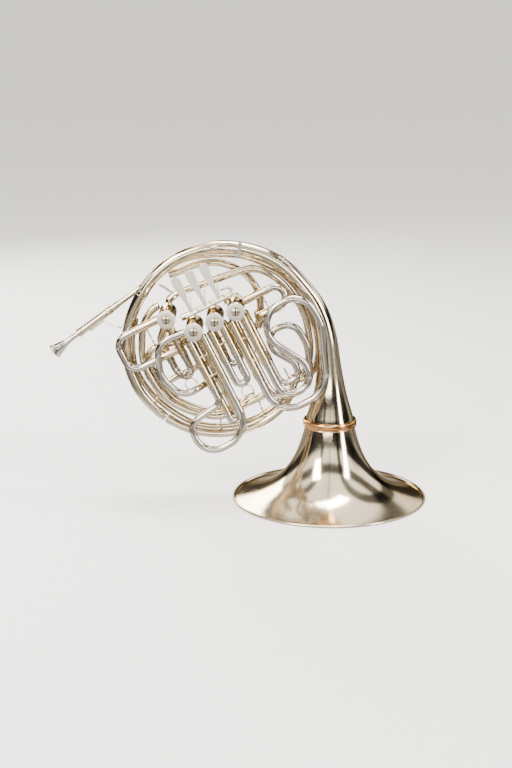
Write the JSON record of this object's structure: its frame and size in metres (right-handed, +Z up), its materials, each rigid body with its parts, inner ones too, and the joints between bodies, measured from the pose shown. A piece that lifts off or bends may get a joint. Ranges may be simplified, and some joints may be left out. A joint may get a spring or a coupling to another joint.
{
  "type": "french horn",
  "caption": "Double french horn with a screw bell, rotary valves, finger and thumb levers, tuning slides and a mouthpiece, standing on its bell.",
  "frame": {"origin": "middle of the whole horn's box, at the floor that the bell rim stands on", "axes": "+Z up along the bell axis, +X from the mouthpiece towards the bell, -Y towards the valve caps and finger levers"},
  "size_m": [0.6172, 0.3178, 0.4264],
  "materials": {
    "body_nickel": "polished nickel silver",
    "ring_copper": "polished copper-rich brass",
    "sleeve_metal": "polished, champagne tone",
    "slide_silver": "polished silver tone",
    "satin_metal": "fine satin",
    "rod_steel": "bright"
  },
  "bodies": {
    "bell": {"bell_flare": "body_nickel", "bell_ring_lower": "ring_copper"},
    "horn_body": {"b_first_sleeves": "sleeve_metal", "b_second_sleeves": "sleeve_metal", "b_third_sleeves": "sleeve_metal", "b_tuning_sleeves": "sleeve_metal", "bell_ring_upper": "ring_copper", "bell_tail": "body_nickel", "body_branch": "body_nickel", "change_valve_cap": "satin_metal", "change_valve_casing": "body_nickel", "f_first_sleeves": "sleeve_metal", "f_second_sleeves": "sleeve_metal", "f_third_sleeves": "sleeve_metal", "f_tuning_sleeves": "sleeve_metal", "finger_hook": "body_nickel", "first_valve_cap": "satin_metal", "first_valve_casing": "body_nickel", "inner_branch": "body_nickel", "lever_rod": "rod_steel", "long_arc_tube": "body_nickel", "loop_tube": "slide_silver", "lyre_holder": "slide_silver", "main_tuning_sleeves": "sleeve_metal", "mouthpiece_receiver": "body_nickel", "mouthpipe": "body_nickel", "rear_arc_tube": "body_nickel", "rear_curve_tube": "body_nickel", "receiver_brace": "body_nickel", "row_tube": "body_nickel", "second_branch_tube": "body_nickel", "second_valve_cap": "satin_metal", "second_valve_casing": "body_nickel", "third_valve_cap": "satin_metal", "third_valve_casing": "body_nickel", "third_valve_knuckle": "body_nickel", "thumb_pivot": "rod_steel", "upper_branch": "body_nickel"},
    "f_first_crook": {"f_first_crook": "slide_silver"},
    "f_second_crook": {"f_second_crook": "slide_silver"},
    "f_third_crook": {"f_third_crook": "slide_silver"},
    "b_first_crook": {"b_first_crook": "slide_silver"},
    "b_second_crook": {"b_second_crook": "slide_silver"},
    "b_third_crook": {"b_third_crook": "slide_silver"},
    "b_tuning_crook": {"b_tuning_crook": "slide_silver"},
    "f_tuning_crook": {"f_tuning_crook": "slide_silver"},
    "main_tuning_crook": {"main_tuning_crook": "slide_silver"},
    "mouthpiece": {"mouthpiece": "slide_silver"},
    "change_valve_rotor": {"change_rotor": "body_nickel", "change_stop_arm": "body_nickel"},
    "first_valve_rotor": {"first_rotor": "body_nickel", "first_stop_arm": "body_nickel"},
    "second_valve_rotor": {"second_rotor": "body_nickel", "second_stop_arm": "body_nickel"},
    "third_valve_rotor": {"third_rotor": "body_nickel", "third_stop_arm": "body_nickel"},
    "first_finger_lever": {"first_lever": "satin_metal"},
    "second_finger_lever": {"second_lever": "satin_metal"},
    "third_finger_lever": {"third_lever": "satin_metal"},
    "thumb_valve_lever": {"thumb_lever": "satin_metal"}
  },
  "joints": [
    {"name": "bell_lift", "type": "slide", "parent": "bell", "child": "horn_body", "axis": [0, 0, 1], "range_m": [0, 0.02]},
    {"name": "mouthpiece_pull", "type": "slide", "parent": "horn_body", "child": "mouthpiece", "axis": [-0.8039, 0, -0.5948], "range_m": [0, 0.02]},
    {"name": "f_first_slide", "type": "slide", "parent": "horn_body", "child": "f_first_crook", "axis": [0.4439, 0, -0.8961], "range_m": [0, 0.05]},
    {"name": "f_second_slide", "type": "slide", "parent": "horn_body", "child": "f_second_crook", "axis": [0.4439, 0, -0.8961], "range_m": [0, 0.035]},
    {"name": "f_third_slide", "type": "slide", "parent": "horn_body", "child": "f_third_crook", "axis": [0.4439, 0, -0.8961], "range_m": [0, 0.018]},
    {"name": "b_first_slide", "type": "slide", "parent": "horn_body", "child": "b_first_crook", "axis": [0.4439, 0, -0.8961], "range_m": [0, 0.06]},
    {"name": "b_second_slide", "type": "slide", "parent": "horn_body", "child": "b_second_crook", "axis": [0.4439, 0, -0.8961], "range_m": [0, 0.02]},
    {"name": "b_third_slide", "type": "slide", "parent": "horn_body", "child": "b_third_crook", "axis": [0.4439, 0, -0.8961], "range_m": [0, 0.008]},
    {"name": "b_tuning_slide", "type": "slide", "parent": "horn_body", "child": "b_tuning_crook", "axis": [0.4439, 0, -0.8961], "range_m": [0, 0.007]},
    {"name": "f_tuning_slide", "type": "slide", "parent": "horn_body", "child": "f_tuning_crook", "axis": [-0.8961, 0, -0.4439], "range_m": [0, 0.025]},
    {"name": "main_tuning_slide", "type": "slide", "parent": "horn_body", "child": "main_tuning_crook", "axis": [0.8961, 0, 0.4439], "range_m": [0, 0.02]},
    {"name": "change_rotor_turn", "type": "hinge", "parent": "horn_body", "child": "change_valve_rotor", "pos_m": [-0.11349, 0, 0.30922], "axis": [0, 1, 0], "range_deg": [0, 90], "stiffness_Nm_per_rad": 0.002, "springref_deg": -17.19},
    {"name": "first_rotor_turn", "type": "hinge", "parent": "horn_body", "child": "first_valve_rotor", "pos_m": [-0.07045, 0, 0.28924], "axis": [0, 1, 0], "range_deg": [0, 90], "stiffness_Nm_per_rad": 0.002, "springref_deg": -17.19},
    {"name": "second_rotor_turn", "type": "hinge", "parent": "horn_body", "child": "second_valve_rotor", "pos_m": [-0.03703, 0, 0.3058], "axis": [0, 1, 0], "range_deg": [0, 90], "stiffness_Nm_per_rad": 0.002, "springref_deg": -17.19},
    {"name": "third_rotor_turn", "type": "hinge", "parent": "horn_body", "child": "third_valve_rotor", "pos_m": [-0.0036, 0, 0.32236], "axis": [0, 1, 0], "range_deg": [0, 90], "stiffness_Nm_per_rad": 0.002, "springref_deg": -17.19},
    {"name": "first_lever_press", "type": "hinge", "parent": "horn_body", "child": "first_finger_lever", "pos_m": [-0.07168, -0.046, 0.31877], "axis": [-0.8961, 0, -0.4439], "range_deg": [0, 12]},
    {"name": "second_lever_press", "type": "hinge", "parent": "horn_body", "child": "second_finger_lever", "pos_m": [-0.04991, -0.046, 0.32955], "axis": [-0.8961, 0, -0.4439], "range_deg": [0, 12]},
    {"name": "third_lever_press", "type": "hinge", "parent": "horn_body", "child": "third_finger_lever", "pos_m": [-0.02813, -0.046, 0.34034], "axis": [-0.8961, 0, -0.4439], "range_deg": [0, 12]},
    {"name": "thumb_lever_press", "type": "hinge", "parent": "horn_body", "child": "thumb_valve_lever", "pos_m": [-0.10033, 0.02, 0.336], "axis": [0, -1, 0], "range_deg": [0, 12]}
  ],
  "couplings": [
    {"joint": "first_lever_press", "follows": "first_rotor_turn", "ratio": 0.13333},
    {"joint": "second_lever_press", "follows": "second_rotor_turn", "ratio": 0.13333},
    {"joint": "third_lever_press", "follows": "third_rotor_turn", "ratio": 0.13333},
    {"joint": "thumb_lever_press", "follows": "change_rotor_turn", "ratio": 0.13333}
  ]
}
